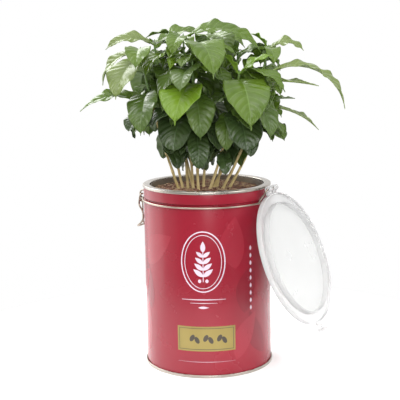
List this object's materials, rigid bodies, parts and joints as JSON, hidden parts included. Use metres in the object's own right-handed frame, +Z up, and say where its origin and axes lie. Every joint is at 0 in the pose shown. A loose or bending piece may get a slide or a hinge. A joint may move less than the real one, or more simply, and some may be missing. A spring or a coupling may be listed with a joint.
{
  "type": "potted coffee plant",
  "caption": "Clump of young coffee plants with glossy leaves, growing in a round clip-top tin whose clear hinged lid hangs open at its side.",
  "frame": {"origin": "centre of the tin's flat underside, where it stands", "axes": "+Z up along the tin, -Y towards the front that the picture shows, +X to the right of it, where the lid hangs"},
  "size_m": [0.2524, 0.209, 0.3325],
  "materials": {
    "enamel": "glossy lacquer",
    "steel": "bright rolled edge",
    "latch_wire": "plated wire, warm grey",
    "clear_plastic": "clear, slightly milky",
    "dark_plastic": "matt",
    "soil": "loose, fibrous, damp",
    "stem": "smooth young bark",
    "leaf": "glossy leaf"
  },
  "bodies": {
    "tin": {"tin_body": "enamel", "rim_ring": "steel", "foot_ring": "steel", "neck_wire": "latch_wire", "grower_pot": "dark_plastic", "soil": "soil", "stem_01": "stem", "stem_02": "stem", "stem_03": "stem", "stem_04": "stem", "stem_05": "stem", "stem_06": "stem", "stem_07": "stem", "stem_08": "stem", "stem_09": "stem", "stem_10": "stem", "stem_11": "stem", "stem_12": "stem", "foliage_01": "leaf", "foliage_02": "leaf", "foliage_03": "leaf", "foliage_04": "leaf", "foliage_05": "leaf", "foliage_06": "leaf", "foliage_07": "leaf", "foliage_08": "leaf", "foliage_09": "leaf", "foliage_10": "leaf", "foliage_11": "leaf", "foliage_12": "leaf"},
    "lid": {"lid": "clear_plastic"},
    "lever": {"latch_lever": "latch_wire"},
    "bail": {"latch_bail": "latch_wire"}
  },
  "joints": [
    {"name": "lid_hinge", "type": "hinge", "parent": "tin", "child": "lid", "pos_m": [0.06092, -0.03239, 0.1755], "axis": [-0.4695, -0.8829, 0], "range_deg": [0, 70]},
    {"name": "lever_pivot", "type": "hinge", "parent": "tin", "child": "lever", "pos_m": [-0.06022, 0.03202, 0.1635], "axis": [0.4695, 0.8829, 0], "range_deg": [0, 75]},
    {"name": "bail_pivot", "type": "hinge", "parent": "lever", "child": "bail", "pos_m": [-0.06154, 0.03272, 0.1568], "axis": [0.4695, 0.8829, 0], "range_deg": [0, 120]}
  ]
}
